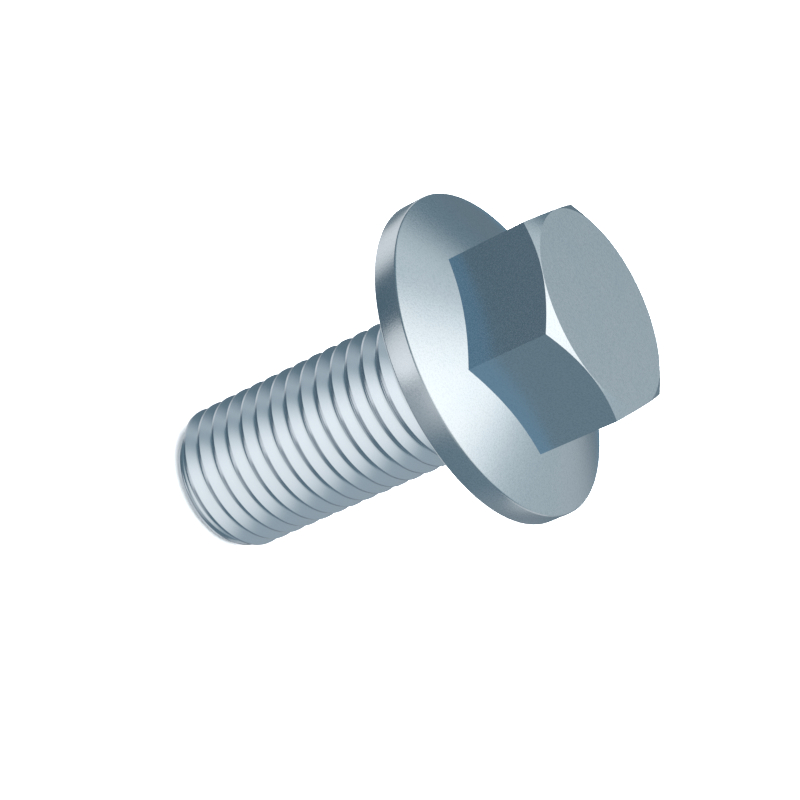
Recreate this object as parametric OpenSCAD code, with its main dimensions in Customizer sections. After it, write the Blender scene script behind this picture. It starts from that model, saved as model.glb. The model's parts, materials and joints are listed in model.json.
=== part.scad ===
// Hexagon head flange bolt with a full-length thread, forged and rolled in one piece.
// It stands on the end of its shank: Z runs up its axis, and the origin is the middle of that end.

/* [Thread and shank] */
// Diameter over the crests of the thread
thread_d = 16; // [14:0.5:18]
// Distance from one crest to the next
pitch = 2; // [1.5:0.25:2.5]
// Length from the bearing face to the end of the shank
shank_len = 35; // [25:1:60]
// Height of the chamfer at the end of the shank
point_len = 1.8; // [1:0.1:3]
// Length of the plain neck between the thread and the bearing face
neck_len = 2.2; // [2:0.1:6]
// Length over which the groove of the thread runs out below the neck
runout_len = 1.5; // [0.5:0.1:3]
// Radius of the fillet between the neck and the bearing face
neck_fillet = 0.8; // [0.4:0.1:1.2]
// Direction in which the groove of the thread starts at the end of the shank, in degrees
start_angle = 62; // [0:1:359]

/* [Flange] */
// Diameter over the flange
flange_d = 34.5; // [30:0.5:40]
// Height of the upright rim
rim_h = 2.6; // [2:0.1:4]
// Slope of the face above the rim, in degrees
flange_slope = 20.5; // [15:0.5:25]
// Radius of the two edges of the rim
rim_edge = 0.25; // [0.1:0.05:0.6]

/* [Hexagon] */
// Width across the flats
across_flats = 20.7; // [18:0.1:24]
// Height from the bearing face to the top of the head
head_h = 14.3; // [12:0.1:18]
// Slope of the chamfer round the top, in degrees
chamfer_slope = 30; // [15:1:35]
// How far the flat top ends inside the flats
chamfer_inset = 0.05; // [0.05:0.05:1]

/* [Hidden] */

$fn = 96;
// Facets of the groove to one turn of the thread
turn_steps = 30;
// How far a cut runs past the surface that it cuts
over = 0.3;
// How far a form runs inside another that it is one piece with
bury = 1;

// Metric thread: flanks at 30 degrees to a level plane, and these shares of the pitch
flank = 30;
root_share = 1.2269;
blank_share = 0.6495;
crest_share = 0.125;
root_d = thread_d - root_share * pitch;
// The neck has the diameter of the blank that the thread is rolled on
neck_d = thread_d - blank_share * pitch;
// The flat end is smaller than the root by this much, so that the groove leaves it whole
point_step = 0.35;
point_d = root_d - point_step;

hex_corner = across_flats / 2 / cos(30);
top_z = shank_len + head_h;
rim_z = shank_len + rim_h;

// Half the groove's width where its section has this radius
function groove_half(r) =
    pitch * (1 - crest_share) / 2 - (thread_d / 2 - r) * tan(flank);

// The groove runs from below the end of the shank to this far under the bearing face
face_gap = 0.2;
groove_low = -pitch;
groove_top = shank_len - face_gap - groove_half(thread_d / 2 + over);
groove_steps = floor((groove_top - groove_low) / pitch * turn_steps);

// Where the thread runs out, the groove gets shallower until it clears the neck by neck_gap
neck_gap = 0.03;
runout_z = shank_len - neck_len - runout_len;
full_lift = (neck_d - root_d) / 2 + neck_gap;
function lift(z) = full_lift * min(1, max(0, (z - runout_z) / runout_len));

// Four corners of the groove's section, one step further up the helix for each i
function section(i) =
    let (z = groove_low + pitch * i / turn_steps,
         a = start_angle + 360 * (groove_low / pitch + i / turn_steps),
         root = root_d / 2,
         crest = thread_d / 2 + over,
         out = lift(z))
    [for (corner = [[crest, -1], [root, -1], [root, 1], [crest, 1]])
        let (r = corner[0] + out, side = corner[1])
        [r * cos(a), r * sin(a), z + side * groove_half(corner[0])]];

module thread_groove() {
    last = 4 * groove_steps;
    polyhedron(
        points = [for (i = [0:groove_steps]) each section(i)],
        faces = concat(
            [[0, 1, 2, 3]],
            [for (i = [0:groove_steps - 1], k = [0:3])
                let (a = 4 * i + k, b = 4 * i + (k + 1) % 4)
                [a, a + 4, b + 4, b]],
            [[last + 3, last + 2, last + 1, last]]),
        convexity = 40);
}

// Round blank of the shank: flat end, chamfer, threaded length, neck and fillet
module shank_blank() {
    crest = thread_d / 2;
    neck = neck_d / 2;
    neck_z = shank_len - neck_len;
    rotate_extrude() {
        polygon([
            [0, 0], [point_d / 2, 0], [crest, point_len],
            [crest, neck_z - (crest - neck)], [neck, neck_z],
            [neck, shank_len + bury], [0, shank_len + bury]]);
        translate([neck, shank_len - neck_fillet])
            difference() {
                translate([-bury, 0])
                    square(neck_fillet + bury);
                translate([neck_fillet, 0])
                    circle(neck_fillet);
            }
    }
}

module shank() {
    difference() {
        shank_blank();
        thread_groove();
    }
}

// What rounding takes off a corner at the origin, where a wall from below meets a face that rises inwards
module corner_cut(r, slope) {
    centre = [-r, r * tan(slope) - r / cos(slope)];
    normal = [sin(slope), cos(slope)];
    difference() {
        polygon([
            centre, [0, centre[1]], [over, centre[1]],
            [over, over], centre + (r + over) * normal]);
        translate(centre)
            circle(r);
    }
}

module flange() {
    r = flange_d / 2;
    inner = across_flats / 2 - bury;
    rotate_extrude()
        difference() {
            polygon([
                [0, shank_len], [r, shank_len], [r, rim_z],
                [inner, rim_z + (r - inner) * tan(flange_slope)],
                [0, rim_z + (r - inner) * tan(flange_slope)]]);
            translate([r, rim_z])
                corner_cut(rim_edge, flange_slope);
            translate([r, shank_len])
                mirror([0, 1])
                    corner_cut(rim_edge, 0);
        }
}

// Hexagonal prism, with a cone turned off its top corners
module hexagon() {
    top_r = across_flats / 2 - chamfer_inset;
    wide = hex_corner + over;
    intersection() {
        translate([0, 0, shank_len + rim_h / 2])
            cylinder(r = hex_corner, h = head_h - rim_h / 2, $fn = 6);
        rotate_extrude()
            polygon([
                [0, shank_len], [wide, shank_len],
                [wide, top_z - (wide - top_r) * tan(chamfer_slope)],
                [top_r, top_z], [0, top_z]]);
    }
}

module flange_bolt() {
    color([0.62, 0.69, 0.74])
    union() {
        shank();
        flange();
        hexagon();
    }
}

flange_bolt();
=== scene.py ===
"""A hexagon flange bolt of zinc-plated steel, standing on the end of its shank in a plain studio."""

import json
import logging
import math
from dataclasses import dataclass

import bmesh
import bpy
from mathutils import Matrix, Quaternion, Vector


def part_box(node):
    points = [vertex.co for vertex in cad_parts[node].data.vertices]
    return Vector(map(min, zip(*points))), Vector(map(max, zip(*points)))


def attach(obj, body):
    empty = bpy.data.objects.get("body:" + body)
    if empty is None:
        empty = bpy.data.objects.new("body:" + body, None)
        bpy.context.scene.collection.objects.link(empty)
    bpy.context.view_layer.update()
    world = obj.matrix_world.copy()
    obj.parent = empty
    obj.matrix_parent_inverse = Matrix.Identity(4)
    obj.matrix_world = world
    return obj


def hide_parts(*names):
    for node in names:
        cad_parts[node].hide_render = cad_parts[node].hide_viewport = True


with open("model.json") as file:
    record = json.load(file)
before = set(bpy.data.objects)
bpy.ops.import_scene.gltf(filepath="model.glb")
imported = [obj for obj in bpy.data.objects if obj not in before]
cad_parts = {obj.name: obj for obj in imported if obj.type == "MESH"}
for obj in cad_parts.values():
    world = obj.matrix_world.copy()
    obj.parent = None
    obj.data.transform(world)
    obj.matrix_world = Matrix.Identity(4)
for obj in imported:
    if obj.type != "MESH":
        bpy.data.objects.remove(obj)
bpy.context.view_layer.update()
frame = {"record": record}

MM = 0.001
NODE = "flange_bolt"
BODY = "root"
# Points closer than this, in metres, are one, and an edge shorter than a tenth of it has no length
WELD = 2e-6
SLIVER = WELD / 10
LOG = logging.getLogger("flange_bolt")

# A point of an outline: its distance from the bolt's axis and its height, in mm
Point = tuple[float, float]


def linear(hex_colour: str) -> tuple[float, float, float, float]:
    """Turns an sRGB hex colour into a linear colour.

    Args:
        hex_colour: Six hex digits after a hash, such as "#c8d2da".

    Returns:
        Linear red, green and blue from 0 to 1, and an alpha of 1.
    """
    shares = [int(hex_colour[i : i + 2], 16) / 255 for i in (1, 3, 5)]
    red, green, blue = (c / 12.92 if c <= 0.04045 else ((c + 0.055) / 1.055) ** 2.4 for c in shares)
    return red, green, blue, 1.0


def add_node(
    tree: bpy.types.NodeTree, kind: str, inputs: dict[str | int, object] | None = None, **settings: object
) -> bpy.types.Node:
    """Adds a node with its settings and its links.

    Args:
        tree: The tree that gets the node.
        kind: Blender's name for the kind of node.
        inputs: For each input, by its name or its number, a value or the output socket that feeds it.
        **settings: The node's own properties, such as its operation.

    Returns:
        The new node.
    """
    node = tree.nodes.new(kind)
    for name, value in settings.items():
        setattr(node, name, value)
    for key, value in (inputs or {}).items():
        if isinstance(value, bpy.types.NodeSocket):
            tree.links.new(value, node.inputs[key])
        else:
            node.inputs[key].default_value = value
    return node


def link_object(name: str, data: bpy.types.ID) -> bpy.types.Object:
    """Makes an object of a mesh, light or camera and puts it in the scene.

    Args:
        name: The object's name.
        data: The mesh, light or camera.

    Returns:
        The new object, at the origin.
    """
    thing = bpy.data.objects.new(name, data)
    bpy.context.scene.collection.objects.link(thing)
    return thing


def direction(azimuth: float, elevation: float) -> Vector:
    """Gives the direction from the bolt to a camera or a light.

    Args:
        azimuth: Degrees from -Y towards +X, seen from above.
        elevation: Degrees above the horizon.

    Returns:
        A unit vector.
    """
    a, e = math.radians(azimuth), math.radians(elevation)
    return Vector((math.sin(a) * math.cos(e), -math.cos(a) * math.cos(e), math.sin(e)))


@dataclass(frozen=True)
class ZincPlate:
    """Bright zinc electroplated on forged and rolled steel, with a clear blue passivation.

    Plating follows the fine grain of the forged head, so the metal is satin and not a mirror: highlights are
    broad, and a fine speckle shows. Rolling has pressed the grain out of the shank, whose plating is a little
    duller. Its darker colour is also painted shade, which stands in for the shade in the thread's grooves.
    """

    forged_from_mm: float
    name: str = "zinc_plated_steel"
    metal: str = "#dbdee1"
    thin_blue: str = "#d4dadf"
    # The shank's colour, darker than the head's: duller plating, and partly painted shade for the thread's
    # grooves
    rolled: str = "#c8ced5"
    pit: str = "#8e989f"
    pit_share: float = 0.15
    roughness: float = 0.21
    roughness_spread: float = 0.03
    # The grain is drawn as coarse as it needs to show, about two pixels wide, and the real one may be finer
    grain_mm: float = 0.2
    grain_depth_mm: float = 0.006
    # It sets in over this height, just below the head
    grain_start_mm: float = 0.2
    grain_detail: float = 2.0
    grain_fineness: float = 0.6
    # Heights of the grain, from 0 to 1, between which pits deepen and between which the roughness changes
    pit_edge: float = 0.55
    pit_floor: float = 0.35
    grain_low: float = 0.3
    grain_high: float = 0.7
    cloud_mm: float = 3.0
    cloud_detail: float = 3.0

    def add_forged(self, tree: bpy.types.NodeTree, place: bpy.types.NodeSocket) -> bpy.types.NodeSocket:
        """Adds the share of forged skin.

        Args:
            tree: The material's tree.
            place: The point on the bolt.

        Returns:
            A share of 1 on the head and 0 on the shank.
        """
        height = add_node(tree, "ShaderNodeSeparateXYZ", {0: place}).outputs["Z"]
        # The shank below the head, outside this share, gets the darker colour that is partly painted shade
        forged = add_node(
            tree, "ShaderNodeMapRange",
            {
                "Value": height,
                "From Min": (self.forged_from_mm - self.grain_start_mm) * MM,
                "From Max": self.forged_from_mm * MM,
            },
        )
        return forged.outputs["Result"]

    def add_colour(
        self,
        tree: bpy.types.NodeTree,
        place: bpy.types.NodeSocket,
        grain: bpy.types.NodeSocket,
        forged: bpy.types.NodeSocket,
    ) -> bpy.types.NodeSocket:
        """Adds the plating's colour, which drifts with its thickness.

        Args:
            tree: The material's tree.
            place: The point on the bolt.
            grain: The height of the grain there, from 0 to 1.
            forged: The share of forged skin there.

        Returns:
            The colour.
        """
        clouds = add_node(
            tree, "ShaderNodeTexNoise",
            {"Vector": place, "Scale": 1 / (self.cloud_mm * MM), "Detail": self.cloud_detail},
        )
        bright = add_node(
            tree, "ShaderNodeMix",
            {"Factor": clouds.outputs["Fac"], "A": linear(self.metal), "B": linear(self.thin_blue)},
            data_type="RGBA",
        )
        # The shank takes the darker rolled colour: a little duller plating, and partly painted shade for the
        # thread's grooves
        plated_with_shank_shade = add_node(
            tree, "ShaderNodeMix",
            {"Factor": forged, "A": linear(self.rolled), "B": bright.outputs["Result"]},
            data_type="RGBA",
        )
        # Pits between the grains hold duller metal
        low_spots = add_node(
            tree, "ShaderNodeMapRange",
            {"Value": grain, "From Min": self.pit_edge, "From Max": self.pit_floor, "To Max": self.pit_share},
        )
        pitted = add_node(
            tree, "ShaderNodeMath", {0: low_spots.outputs["Result"], 1: forged}, operation="MULTIPLY"
        )
        speckled = add_node(
            tree, "ShaderNodeMix",
            {"Factor": pitted.outputs[0], "A": plated_with_shank_shade.outputs["Result"], "B": linear(self.pit)},
            data_type="RGBA",
        )
        return speckled.outputs["Result"]

    def build(self) -> bpy.types.Material:
        """Builds the material.

        Returns:
            A metal with fine pits and bumps on the forged head.
        """
        material = bpy.data.materials.new(self.name)
        material.use_nodes = True
        tree = material.node_tree
        tree.nodes.clear()
        place = add_node(tree, "ShaderNodeTexCoord").outputs["Object"]
        forged = self.add_forged(tree, place)
        grain = add_node(
            tree, "ShaderNodeTexNoise",
            {
                "Vector": place,
                "Scale": 1 / (self.grain_mm * MM),
                "Detail": self.grain_detail,
                "Roughness": self.grain_fineness,
            },
        ).outputs["Fac"]
        rough = add_node(
            tree, "ShaderNodeMapRange",
            {
                "Value": grain,
                "From Min": self.grain_low,
                "From Max": self.grain_high,
                "To Min": self.roughness - self.roughness_spread,
                "To Max": self.roughness + self.roughness_spread,
            },
        )
        bump = add_node(
            tree, "ShaderNodeBump",
            {"Height": grain, "Strength": forged, "Distance": self.grain_depth_mm * MM},
        )
        shader = add_node(
            tree, "ShaderNodeBsdfPrincipled",
            {
                "Base Color": self.add_colour(tree, place, grain, forged),
                "Roughness": rough.outputs["Result"],
                "Normal": bump.outputs["Normal"],
                "Metallic": 1.0,
            },
        )
        add_node(tree, "ShaderNodeOutputMaterial", {"Surface": shader.outputs["BSDF"]})
        return material


@dataclass(frozen=True)
class FloorPaint:
    """Matt white paper on the studio's table, which gives a plain pale ground."""

    name: str = "matt_white_paper"
    paper: str = "#f4f5f6"
    roughness: float = 0.9

    def build(self) -> bpy.types.Material:
        """Builds the material.

        Returns:
            A matt pale paint.
        """
        material = bpy.data.materials.new(self.name)
        material.use_nodes = True
        shader = material.node_tree.nodes["Principled BSDF"]
        shader.inputs["Base Color"].default_value = linear(self.paper)
        shader.inputs["Roughness"].default_value = self.roughness
        return material


@dataclass
class Thread:
    """The threaded shank, from its flat end to the ring where the plain neck takes over.

    Lengths are in mm and angles in degrees.
    """

    crest_r: float
    end_height: float
    crest_end: float
    pitch: float = 2.0
    start_angle: float = 62.0
    flank_deg: float = 30.0
    # In pitches: the crest's width, and how much smaller than the crests the root and the blank are across
    crest_share: float = 0.125
    root_share: float = 1.2269
    blank_share: float = 0.6495
    end_step: float = 0.35
    runout_length: float = 1.5
    neck_gap: float = 0.03
    neck_stub: float = 0.3
    # Half the width of the roundings at the edges of the crest and the root
    crest_rounding: float = 0.01
    root_rounding: float = 0.15
    # Rows of the mesh in each band of the section
    root_rows: int = 1
    rounding_rows: int = 3
    flank_rows: int = 2
    crest_rows: int = 1

    @property
    def root_r(self) -> float:
        """Radius at the bottom of the groove."""
        return self.crest_r - self.root_share * self.pitch / 2

    @property
    def neck_r(self) -> float:
        """Radius of the blank that the thread is rolled on, and of the plain neck."""
        return self.crest_r - self.blank_share * self.pitch / 2

    @property
    def end_r(self) -> float:
        """Radius of the flat end."""
        return self.root_r - self.end_step / 2

    @property
    def neck_z(self) -> float:
        """Height at which the plain neck starts."""
        return self.crest_end + self.crest_r - self.neck_r

    @property
    def top_z(self) -> float:
        """Height of the ring that the head's mesh takes over from."""
        return self.neck_z + self.neck_stub

    @property
    def half_groove(self) -> float:
        """Half the groove's width at the crests."""
        return self.pitch * (1 - self.crest_share) / 2

    def bands(self) -> list[tuple[str, int, float]]:
        """Divides half a groove and half a crest into bands, so that rows gather where the section turns.

        Returns:
            From the middle of the groove to the middle of the crest, each band's name, rows and width.
        """
        crest_edge = self.half_groove
        root_edge = crest_edge - (self.crest_r - self.root_r) * math.tan(math.radians(self.flank_deg))
        return [
            ("root", self.root_rows, root_edge - self.root_rounding),
            ("root rounding", self.rounding_rows, 2 * self.root_rounding),
            ("flank", self.flank_rows, crest_edge - self.crest_rounding - root_edge - self.root_rounding),
            ("crest rounding", self.rounding_rows, 2 * self.crest_rounding),
            ("crest", self.crest_rows, self.pitch / 2 - crest_edge - self.crest_rounding),
        ]

    def sizes(self, columns: int) -> dict[str, float | int]:
        """Lists the inputs of the node tree.

        Args:
            columns: Steps round the shank.

        Returns:
            Each input's value by its name, with lengths in metres.
        """
        first_groove = -self.pitch * (1 + self.start_angle / 360)
        turns = math.ceil((self.top_z - first_groove) / self.pitch)
        rows_per_turn = 2 * sum(rows for _, rows, _ in self.bands())
        steepness = 1 / math.tan(math.radians(self.flank_deg))
        lengths = {
            "Pitch": self.pitch,
            "Crest Radius": self.crest_r,
            "Root Radius": self.root_r,
            "Neck Radius": self.neck_r,
            "End Radius": self.end_r,
            "End Height": self.end_height,
            "Neck Height": self.neck_z,
            "Top Height": self.top_z,
            "Run-out Height": self.neck_z - self.runout_length,
            "Run-out Length": self.runout_length,
            "Run-out Lift": self.neck_r - self.root_r + self.neck_gap,
            "First Groove": first_groove,
            "Half Groove": self.half_groove,
            "Crest Blend": self.crest_rounding * steepness,
            "Root Blend": self.root_rounding * steepness,
        }
        return {
            "Columns": columns,
            "Rows": turns * rows_per_turn,
            "Rows Per Turn": rows_per_turn,
            "Flank Steepness": steepness,
            **{name: value * MM for name, value in lengths.items()},
        }

    def formula(self) -> list[tuple[str, str, object, object, object]]:
        """Gives the rule of the thread's surface, one step a line, for a grid that is rolled round the shank.

        Returns:
            For each step its name, the operation, and three terms. A term is a number, the name of an input
            or an earlier step, or None.
        """
        steps = [
            # The grid lies round the origin, so x and y run from -0.5 to 0.5
            ("turn", "ADD", "x", 0.5, None),
            ("up", "ADD", "y", 0.5, None),
            ("exact row", "MULTIPLY", "up", "Rows", None),
            ("row", "ROUND", "exact row", None, None),
            ("climb", "DIVIDE", "row", "Rows Per Turn", None),
            ("nearest groove", "ROUND", "climb", None, None),
            ("share off groove", "SUBTRACT", "climb", "nearest groove", None),
            ("side", "SIGN", "share off groove", None, None),
            ("off groove", "MULTIPLY", "share off groove", "side", None),
            ("rows off groove", "MULTIPLY", "off groove", "Rows Per Turn", None),
            ("from groove", "ADD", 0.0, 0.0, None),
        ]
        # Each band of the section takes its own rows, so the rows lie closest where the section turns
        first = 0
        for name, rows, width in self.bands():
            steps += [
                (f"rows past {name}", "SUBTRACT", "rows off groove", float(first), None),
                (f"share of {name}", "DIVIDE", f"rows past {name}", float(rows), None),
                (f"{name} begun", "MAXIMUM", f"share of {name}", 0.0, None),
                (f"{name} done", "MINIMUM", f"{name} begun", 1.0, None),
                ("from groove", "MULTIPLY_ADD", f"{name} done", width * MM, "from groove"),
            ]
            first += rows
        return steps + [
            # Rows run along the helix, so that each keeps its distance from the middle of the groove
            ("groove climb", "ADD", "nearest groove", "turn", None),
            ("groove height", "MULTIPLY_ADD", "groove climb", "Pitch", "First Groove"),
            ("free height", "MULTIPLY_ADD", "from groove", "side", "groove height"),
            ("above end", "MAXIMUM", "free height", 0.0, None),
            ("height", "MINIMUM", "above end", "Top Height", None),
            # The flank rises from the groove, and is rounded into the crest and the root
            ("short of crest", "SUBTRACT", "from groove", "Half Groove", None),
            ("flank", "MULTIPLY_ADD", "short of crest", "Flank Steepness", "Crest Radius"),
            ("crested", "SMOOTH_MIN", "flank", "Crest Radius", "Crest Blend"),
            ("rolled", "SMOOTH_MAX", "crested", "Root Radius", "Root Blend"),
            # Towards the neck the groove gets shallower until it leaves the metal
            ("past run-out", "SUBTRACT", "height", "Run-out Height", None),
            ("run-out share", "DIVIDE", "past run-out", "Run-out Length", None),
            ("no less", "MAXIMUM", "run-out share", 0.0, None),
            ("no more", "MINIMUM", "no less", 1.0, None),
            ("groove", "MULTIPLY_ADD", "no more", "Run-out Lift", "rolled"),
            # The blank: a cone at the end, the crests, and a cone down to the neck
            ("end rise", "SUBTRACT", "Crest Radius", "End Radius", None),
            ("end slope", "DIVIDE", "end rise", "End Height", None),
            ("end cone", "MULTIPLY_ADD", "height", "end slope", "End Radius"),
            ("below neck", "SUBTRACT", "Neck Height", "height", None),
            ("to neck", "MAXIMUM", "below neck", 0.0, None),
            ("neck cone", "ADD", "to neck", "Neck Radius", None),
            ("cones", "MINIMUM", "end cone", "neck cone", None),
            ("blank", "MINIMUM", "cones", "Crest Radius", None),
            ("radius", "MINIMUM", "groove", "blank", None),
            ("angle", "MULTIPLY", "turn", math.tau, None),
            ("cosine", "COSINE", "angle", None, None),
            ("sine", "SINE", "angle", None, None),
            ("place x", "MULTIPLY", "radius", "cosine", None),
            ("place y", "MULTIPLY", "radius", "sine", None),
        ]

    def build_tree(self, sizes: dict[str, float | int]) -> bpy.types.NodeTree:
        """Builds the Geometry Nodes tree that rolls the thread.

        Args:
            sizes: The tree's inputs and their first values.

        Returns:
            The tree, with one named input for each size and one for the material.
        """
        tree = bpy.data.node_groups.new("rolled_thread", "GeometryNodeTree")
        tree.interface.new_socket("Geometry", in_out="OUTPUT", socket_type="NodeSocketGeometry")
        for name, value in sizes.items():
            kind = "NodeSocketInt" if isinstance(value, int) else "NodeSocketFloat"
            tree.interface.new_socket(name, in_out="INPUT", socket_type=kind)
        tree.interface.new_socket("Material", in_out="INPUT", socket_type="NodeSocketMaterial")
        given = add_node(tree, "NodeGroupInput").outputs
        columns = add_node(tree, "ShaderNodeMath", {0: given["Columns"], 1: 1.0}, operation="ADD").outputs[0]
        rows = add_node(tree, "ShaderNodeMath", {0: given["Rows"], 1: 1.0}, operation="ADD").outputs[0]
        grid = add_node(
            tree, "GeometryNodeMeshGrid",
            {"Size X": 1.0, "Size Y": 1.0, "Vertices X": columns, "Vertices Y": rows},
        )
        position = add_node(tree, "GeometryNodeInputPosition").outputs[0]
        spot = add_node(tree, "ShaderNodeSeparateXYZ", {0: position}).outputs
        values = {"x": spot["X"], "y": spot["Y"], **{name: given[name] for name in sizes}}
        for name, operation, *terms in self.formula():
            inputs = {i: values.get(term, term) for i, term in enumerate(terms) if term is not None}
            values[name] = add_node(tree, "ShaderNodeMath", inputs, operation=operation).outputs[0]
        place = add_node(
            tree, "ShaderNodeCombineXYZ", {0: values["place x"], 1: values["place y"], 2: values["height"]}
        )
        rolled = add_node(
            tree, "GeometryNodeSetPosition", {"Geometry": grid.outputs["Mesh"], "Position": place.outputs[0]}
        )
        welded = add_node(
            tree, "GeometryNodeMergeByDistance", {"Geometry": rolled.outputs[0], "Distance": WELD}
        )
        real = add_node(tree, "GeometryNodeRealizeInstances", {0: welded.outputs[0]})
        dressed = add_node(
            tree, "GeometryNodeSetMaterial", {"Geometry": real.outputs[0], "Material": given["Material"]}
        )
        add_node(tree, "NodeGroupOutput", {0: dressed.outputs[0]})
        return tree

    def build_mesh(self, columns: int, material: bpy.types.Material) -> bpy.types.Mesh:
        """Rolls the thread and takes the result as a plain mesh.

        Args:
            columns: Steps round the shank.
            material: The finish that the tree sets.

        Returns:
            A tube from the edge of the flat end to the ring at the neck.
        """
        sizes = self.sizes(columns)
        tree = self.build_tree(sizes)
        blank = link_object("thread_blank", bpy.data.meshes.new("thread_blank"))
        modifier = blank.modifiers.new("rolled_thread", "NODES")
        modifier.node_group = tree
        sockets = {item.name: item.identifier for item in tree.interface.items_tree if item.in_out == "INPUT"}
        for name, value in {**sizes, "Material": material}.items():
            modifier[sockets[name]] = value
        graph = bpy.context.evaluated_depsgraph_get()
        mesh = bpy.data.meshes.new_from_object(blank.evaluated_get(graph))
        blank.modifiers.remove(modifier)
        bpy.data.objects.remove(blank)
        return mesh


@dataclass
class Head:
    """Neck, flange and hexagon, as one shell over the thread's last ring. Lengths are in mm."""

    flange_r: float
    bearing_z: float
    top_z: float
    neck_r: float
    ring_z: float
    neck_fillet: float = 0.8
    rim_height: float = 2.6
    slope_deg: float = 20.5
    rim_edge: float = 0.25
    across_flats: float = 20.7
    chamfer_deg: float = 30.0
    chamfer_inset: float = 0.05
    arc_steps: int = 6
    top_rings: int = 3

    def arc(self, centre: Point, radius: float, start: float, end: float) -> list[Point]:
        """Gives the points of a small rounding in the profile.

        Args:
            centre: The rounding's centre.
            radius: The rounding's radius.
            start: Direction of its first point from the centre, in degrees.
            end: Direction of its last point.

        Returns:
            The points from first to last.
        """
        turns = [math.radians(start + (end - start) * i / self.arc_steps) for i in range(self.arc_steps + 1)]
        return [(centre[0] + radius * math.cos(t), centre[1] + radius * math.sin(t)) for t in turns]

    def flat_r(self, angle: float) -> float:
        """Gives the distance from the axis to the hexagon's flats in one direction.

        Args:
            angle: The direction, in radians. Corners lie at multiples of 60 degrees.

        Returns:
            The distance.
        """
        sides = 6
        wedge = math.tau / sides
        return self.across_flats / 2 / math.cos(angle % wedge - wedge / 2)

    def profile(self, angle: float) -> list[Point]:
        """Gives the head's outline in one direction, from the thread's ring up to the middle of the top.

        Args:
            angle: The direction, in radians.

        Returns:
            The same number of points in every direction.
        """
        slope, chamfer = math.tan(math.radians(self.slope_deg)), math.tan(math.radians(self.chamfer_deg))
        edge_r = self.flange_r - self.rim_edge
        fillet_r, fillet_z = self.neck_r + self.neck_fillet, self.bearing_z - self.neck_fillet
        rim_z = self.bearing_z + self.rim_height
        edge_z = rim_z + self.rim_edge * (slope - math.hypot(1, slope))
        flat_r = self.flat_r(angle)
        top_r = self.across_flats / 2 - self.chamfer_inset
        return [
            (self.neck_r, self.ring_z),
            *self.arc((fillet_r, fillet_z), self.neck_fillet, 180, 90),
            *self.arc((edge_r, self.bearing_z + self.rim_edge), self.rim_edge, -90, 0),
            *self.arc((edge_r, edge_z), self.rim_edge, 0, 90 - self.slope_deg),
            (flat_r, rim_z + (self.flange_r - flat_r) * slope),
            (flat_r, self.top_z - (flat_r - top_r) * chamfer),
            *[(top_r * share / self.top_rings, self.top_z) for share in range(self.top_rings, -1, -1)],
        ]


@dataclass
class FlangeBolt:
    """The bolt, forged and rolled in one piece, as one closed mesh."""

    thread: Thread
    head: Head
    finish: ZincPlate
    columns: int = 180
    crease_deg: float = 20.0

    def add_shell(self, mesh: bmesh.types.BMesh, profiles: list[list[Point]]) -> None:
        """Adds the skin between the profiles of neighbouring directions.

        Args:
            mesh: The mesh that gets the faces.
            profiles: One outline a direction, all with as many points, from the bottom up.
        """
        columns = []
        for i, outline in enumerate(profiles):
            angle = math.tau * i / len(profiles)
            places = [Vector((r * math.cos(angle), r * math.sin(angle), z)) * MM for r, z in outline]
            columns.append([mesh.verts.new(place) for place in places])
        for i, near in enumerate(columns):
            far = columns[(i + 1) % len(columns)]
            for k in range(len(near) - 1):
                mesh.faces.new((near[k], far[k], far[k + 1], near[k + 1]))

    def mark_creases(self, mesh: bmesh.types.BMesh) -> None:
        """Keeps the head's edges and the edge of the flat end sharp, and everything else smooth.

        Args:
            mesh: The welded mesh.
        """
        lowest_edge = self.head.ring_z * MM
        for face in mesh.faces:
            face.smooth = True
        for edge in mesh.edges:
            low = min(v.co.z for v in edge.verts)
            plain = low > lowest_edge or max(v.co.z for v in edge.verts) < WELD
            edge.smooth = not (plain and edge.calc_face_angle(0.0) > math.radians(self.crease_deg))

    def build(self) -> bpy.types.Object:
        """Builds the whole bolt.

        Returns:
            The bolt's object, dressed, at the origin, with its place in its mesh.
        """
        material = self.finish.build()
        rolled = self.thread.build_mesh(self.columns, material)
        mesh = bmesh.new()
        mesh.from_mesh(rolled)
        bpy.data.meshes.remove(rolled)
        angles = [math.tau * i / self.columns for i in range(self.columns)]
        self.add_shell(mesh, [self.head.profile(angle) for angle in angles])
        self.add_shell(mesh, [[(0.0, 0.0), (self.thread.end_r, 0.0)] for _ in angles])
        bmesh.ops.remove_doubles(mesh, verts=mesh.verts, dist=WELD)
        bmesh.ops.dissolve_degenerate(mesh, edges=mesh.edges, dist=SLIVER)
        bmesh.ops.recalc_face_normals(mesh, faces=mesh.faces)
        self.mark_creases(mesh)
        skin = bpy.data.meshes.new("bolt")
        mesh.to_mesh(skin)
        mesh.free()
        skin.materials.clear()
        skin.materials.append(material)
        bolt = link_object("bolt", skin)
        # The metal mirrors the studio and not itself, so the thread's flanks stay bright down to the root
        bolt.visible_glossy = False
        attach(bolt, BODY)
        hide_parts(NODE)
        return bolt


@dataclass(frozen=True)
class FloorWash:
    """A broad light overhead that brightens the floor, keeps its shadows faint and shows in no reflection."""

    name: str = "floor_wash"
    width_m: float = 3.0
    height_m: float = 1.5
    watts: float = 150.0

    def build(self, target: Vector) -> bpy.types.Object:
        """Hangs the light over the bolt.

        Args:
            target: The point that it hangs over, in metres.

        Returns:
            The light's object, which no reflection shows.
        """
        lamp = bpy.data.lights.new(self.name, "AREA")
        lamp.shape = "DISK"
        lamp.size = self.width_m
        lamp.energy = self.watts
        light = link_object(self.name, lamp)
        light.location = target + Vector((0, 0, self.height_m))
        light.visible_camera = False
        light.visible_glossy = False
        return light


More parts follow.
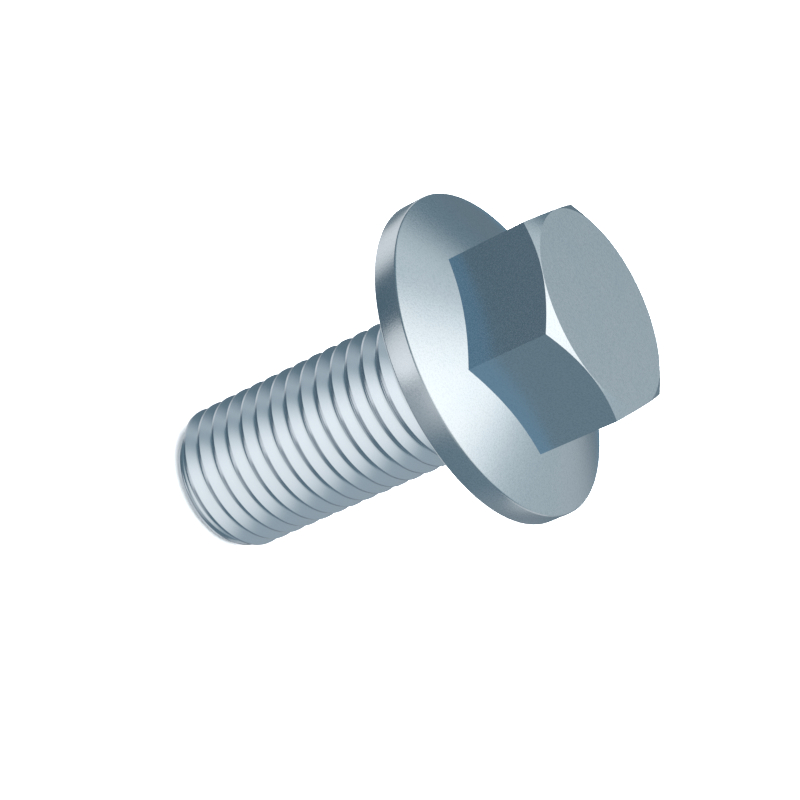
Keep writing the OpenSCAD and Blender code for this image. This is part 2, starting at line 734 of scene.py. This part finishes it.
@dataclass(frozen=True)
class FlangeBounce:
    """The light that the flange throws back at the hexagon, as a disc that only reflections show.

    The metal doesn't mirror itself, so without it the hexagon's faces would miss the flange at their foot.
    """

    radius_mm: float
    height_mm: float
    name: str = "flange_bounce"
    colour: str = "#2a84b4"
    radiance: float = 0.24
    # The disc reaches past the rim by this factor, which makes the reflection broader
    reach: float = 1.08

    def build(self) -> bpy.types.Object:
        """Lays the disc level with the top of the rim, facing up.

        Returns:
            The light's object.
        """
        lamp = bpy.data.lights.new(self.name, "AREA")
        lamp.shape = "DISK"
        radius = self.radius_mm * self.reach * MM
        lamp.size = 2 * radius
        lamp.color = linear(self.colour)[:3]
        # A flat light sends out pi times its area times its radiance, in watts
        lamp.energy = self.radiance * math.pi * math.pi * radius**2
        light = link_object(self.name, lamp)
        light.location = (0, 0, self.height_mm * MM)
        light.rotation_euler = (math.pi, 0, 0)
        light.visible_camera = False
        light.visible_diffuse = False
        return light


@dataclass(frozen=True)
class SoftCard:
    """A round white card with a soft edge, which the metal mirrors.

    It is placed by its direction from the bolt, with all angles in degrees, and is as far off as the walls.
    """

    name: str
    azimuth: float
    elevation: float
    radius: float
    feather: float
    strength: float
    white: str = "#fffcf9"

    def add(
        self, tree: bpy.types.NodeTree, toward: bpy.types.NodeSocket, behind: bpy.types.NodeSocket
    ) -> bpy.types.NodeSocket:
        """Adds the card's light to what is behind it.

        Args:
            tree: The world's tree.
            toward: The direction that is looked in.
            behind: The light from there so far.

        Returns:
            The light with the card's.
        """
        middle = direction(self.azimuth, self.elevation)
        off = add_node(
            tree, "ShaderNodeVectorMath", {0: toward, 1: middle}, operation="DOT_PRODUCT", label=self.name
        )
        outer, inner = (math.cos(math.radians(self.radius + side * self.feather)) for side in (1, -1))
        share = add_node(
            tree, "ShaderNodeMapRange",
            {"Value": off.outputs["Value"], "From Min": outer, "From Max": inner},
            interpolation_type="SMOOTHSTEP",
        )
        glow = Vector(linear(self.white)[:3]) * self.strength
        lit = add_node(
            tree, "ShaderNodeVectorMath",
            {0: share.outputs["Result"], 1: glow, 2: behind},
            operation="MULTIPLY_ADD",
        )
        return lit.outputs["Vector"]


@dataclass
class Studio:
    """Floor, lights, surroundings and camera. Angles are in degrees."""

    bounce: FlangeBounce
    floor_side_m: float = 6.0
    lens_mm: float = 91.2
    distance_mm: float = 207.0
    azimuth: float = 29.3
    elevation: float = 29.9
    roll: float = 65.1
    # The walls are slate, which gives the plating its blue grey, and the camera sees a white backdrop instead
    below: str = "#466475"
    level: str = "#6f828d"
    above: str = "#6f92a0"
    backdrop: str = "#ffffff"
    wash: FloorWash = FloorWash()
    cards: tuple[SoftCard, ...] = (
        SoftCard("overhead", 35, 75, 32, 20, 0.96, "#fff6ee"),
        SoftCard("window", 40, 5, 22, 18, 0.4),
        SoftCard("front", 2, -28, 15, 6, 0.75),
        SoftCard("low front", 30, -33, 20, 14, 0.3),
        SoftCard("low right", 95, -32, 25, 20, 0.09, "#d6eef8"),
        SoftCard("low rear", 150, -30, 20, 18, 0.12),
        SoftCard("left", -110, -10, 14, 6, 0.55),
        SoftCard("low left", -83, -27, 14, 13, 0.75),
        SoftCard("rear wall", 180, 38, 33, 16, 0.3),
        SoftCard("high left", -130, 63, 21, 20, 0.45),
        SoftCard("right", 140, -3, 22, 6, 0.4),
        SoftCard("left wall", -85, 32, 8, 6, 0.45),
        SoftCard("upper left", -104, 39, 8, 7, 0.16),
        SoftCard("under", -151, -70, 34, 14, 0.65),
    )

    def build_floor(self) -> bpy.types.Object:
        """Lays the floor that the bolt stands on.

        Returns:
            The floor's object.
        """
        half = self.floor_side_m / 2
        corners = [(-half, -half, 0), (half, -half, 0), (half, half, 0), (-half, half, 0)]
        mesh = bpy.data.meshes.new("floor")
        mesh.from_pydata(corners, [], [(0, 1, 2, 3)])
        mesh.materials.append(FloorPaint().build())
        floor = link_object("floor", mesh)
        floor.visible_glossy = False
        return floor

    def build_world(self) -> None:
        """Surrounds the bolt with the studio's walls and cards."""
        world = bpy.data.worlds.new("studio")
        world.use_nodes = True
        tree = world.node_tree
        tree.nodes.clear()
        toward = add_node(tree, "ShaderNodeTexCoord").outputs["Generated"]
        height = add_node(tree, "ShaderNodeSeparateXYZ", {0: toward}).outputs["Z"]
        share = add_node(tree, "ShaderNodeMapRange", {"Value": height, "From Min": -1.0, "From Max": 1.0})
        walls = add_node(tree, "ShaderNodeValToRGB", {"Fac": share.outputs["Result"]})
        low, high = walls.color_ramp.elements
        low.color, high.color = linear(self.below), linear(self.above)
        horizon = 0.5
        walls.color_ramp.elements.new(horizon).color = linear(self.level)
        light = walls.outputs["Color"]
        for card in self.cards:
            light = card.add(tree, toward, light)
        room = add_node(tree, "ShaderNodeBackground", {"Color": light})
        pale = add_node(tree, "ShaderNodeBackground", {"Color": linear(self.backdrop)})
        seen = add_node(tree, "ShaderNodeLightPath").outputs["Is Camera Ray"]
        either = add_node(
            tree, "ShaderNodeMixShader",
            {0: seen, 1: room.outputs["Background"], 2: pale.outputs["Background"]},
        )
        add_node(tree, "ShaderNodeOutputWorld", {"Surface": either.outputs["Shader"]})
        bpy.context.scene.world = world

    def build_camera(self, target: Vector) -> bpy.types.Object:
        """Sets the camera at the photograph's viewing angle.

        Args:
            target: The point that it looks at, in metres.

        Returns:
            The camera's object.
        """
        lens = bpy.data.cameras.new("camera")
        lens.lens = self.lens_mm
        camera = link_object("camera", lens)
        back = direction(self.azimuth, self.elevation)
        camera.location = target + back * self.distance_mm * MM
        camera.rotation_mode = "QUATERNION"
        roll = Quaternion((0, 0, 1), math.radians(self.roll))
        camera.rotation_quaternion = (-back).to_track_quat("-Z", "Y") @ roll
        bpy.context.scene.camera = camera
        return camera

    def build(self, target: Vector) -> None:
        """Builds the whole studio round the bolt.

        Args:
            target: The middle of the bolt, in metres.
        """
        bpy.context.scene.view_settings.view_transform = "Standard"
        self.build_floor()
        self.build_world()
        self.build_camera(target)
        self.wash.build(target)
        self.bounce.build()


def main() -> None:
    """Builds the bolt and its studio."""
    logging.basicConfig(level=logging.INFO, format="%(name)s: %(message)s")
    low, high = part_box(NODE)
    mounts = {mount["name"]: mount for mount in frame["record"]["mounts"]}
    screwed, bearing = mounts["thread"], mounts["bearing_face"]
    middle, half = screwed["pos_m"][2] / MM, screwed["dims"]["length_mm"] / 2
    thread = Thread(crest_r=screwed["dims"]["r_mm"], end_height=middle - half, crest_end=middle + half)
    # The frame's flange reaches less far on some sides than on others, and this one takes its least reach
    head = Head(
        flange_r=min(-low.x, high.x, -low.y, high.y) / MM,
        bearing_z=bearing["pos_m"][2] / MM,
        top_z=high.z / MM,
        neck_r=thread.neck_r,
        ring_z=thread.top_z,
    )
    bolt = FlangeBolt(thread, head, ZincPlate(forged_from_mm=head.bearing_z)).build()
    LOG.info("%s: %d faces", bolt.name, len(bolt.data.polygons))
    bounce = FlangeBounce(radius_mm=head.flange_r, height_mm=head.bearing_z + head.rim_height)
    Studio(bounce).build((low + high) / 2)


if __name__ == "__main__":
    main()
